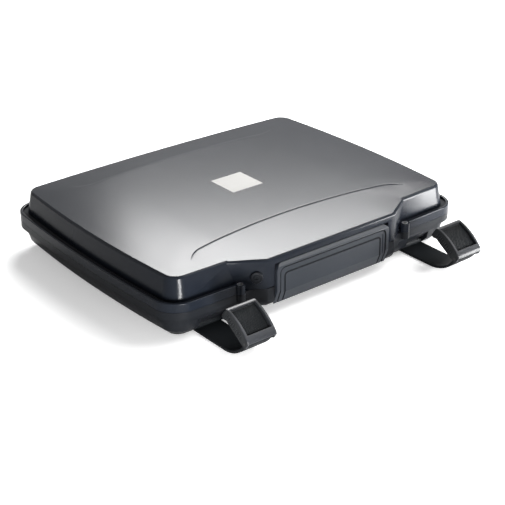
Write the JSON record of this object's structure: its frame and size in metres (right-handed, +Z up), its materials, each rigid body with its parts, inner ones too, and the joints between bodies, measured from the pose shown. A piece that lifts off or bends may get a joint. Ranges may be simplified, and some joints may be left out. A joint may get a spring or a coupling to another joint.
{
  "type": "laptop hard case",
  "caption": "Low moulded hard case for a laptop: hinged lid with a bowed rim and seal, foam bay, folding front handle and a pair of strap latches.",
  "frame": {"origin": "middle of the flat underside, on the ground", "axes": "+X to the right seen from the handle side, +Y towards the hinges at the back, +Z up"},
  "size_m": [0.4066, 0.3905, 0.0703],
  "materials": {
    "shell_plastic": "fine-grained black moulded polymer with a soft sheen",
    "grey_foam": "open-cell polyurethane foam",
    "seal_rubber": "soft neoprene",
    "steel_pin": "drawn stainless steel",
    "stainless_sleeve": "stainless steel",
    "valve_plastic": "smooth black polymer",
    "valve_membrane": "porous hydrophobic membrane",
    "handle_plastic": "matt black polymer",
    "handle_rubber": "soft-touch overmould",
    "strap_plastic": "matt near-black polymer",
    "lever_plastic": "fine-grained dark grey polymer",
    "pad_rubber": "textured soft pad"
  },
  "bodies": {
    "base": {"base_shell": "shell_plastic", "base_foam_floor": "grey_foam", "base_foam_frame": "grey_foam", "hinge_pin_left": "steel_pin", "hinge_pin_right": "steel_pin", "handle_pin_left": "steel_pin", "handle_pin_right": "steel_pin", "latch_pin_left": "steel_pin", "latch_pin_right": "steel_pin", "padlock_sleeve_lower_left": "stainless_sleeve", "padlock_sleeve_lower_right": "stainless_sleeve"},
    "lid": {"lid_shell": "shell_plastic", "lid_seal": "seal_rubber", "lid_foam": "grey_foam", "valve_body": "valve_plastic", "valve_membrane": "valve_membrane", "valve_cap": "valve_plastic", "padlock_sleeve_upper_left": "stainless_sleeve", "padlock_sleeve_upper_right": "stainless_sleeve"},
    "handle": {"handle_core": "handle_plastic", "handle_grip": "handle_rubber"},
    "latch_strap_left": {"latch_strap_left": "strap_plastic"},
    "latch_lever_left": {"latch_lever_left": "lever_plastic", "latch_pad_left": "pad_rubber", "lever_pin_left": "steel_pin"},
    "latch_strap_right": {"latch_strap_right": "strap_plastic"},
    "latch_lever_right": {"latch_lever_right": "lever_plastic", "latch_pad_right": "pad_rubber", "lever_pin_right": "steel_pin"}
  },
  "joints": [
    {"name": "lid_hinge", "type": "hinge", "parent": "base", "child": "lid", "pos_m": [0, 0.1606, 0.036], "axis": [-1, 0, 0], "range_deg": [0, 110]},
    {"name": "handle_hinge", "type": "hinge", "parent": "base", "child": "handle", "pos_m": [0, -0.1582, 0.022], "axis": [1, 0, 0], "range_deg": [0, 90]},
    {"name": "latch_strap_hinge_left", "type": "hinge", "parent": "base", "child": "latch_strap_left", "pos_m": [-0.1418, -0.134, 0.0052], "axis": [-1, 0, 0], "range_deg": [0, 46]},
    {"name": "latch_lever_hinge_left", "type": "hinge", "parent": "latch_strap_left", "child": "latch_lever_left", "pos_m": [-0.1418, -0.21981, 0.02305], "axis": [1, 0, 0], "range_deg": [-40, 90]},
    {"name": "latch_strap_hinge_right", "type": "hinge", "parent": "base", "child": "latch_strap_right", "pos_m": [0.1418, -0.134, 0.0052], "axis": [-1, 0, 0], "range_deg": [0, 46]},
    {"name": "latch_lever_hinge_right", "type": "hinge", "parent": "latch_strap_right", "child": "latch_lever_right", "pos_m": [0.1418, -0.21981, 0.02305], "axis": [1, 0, 0], "range_deg": [-40, 90]}
  ]
}
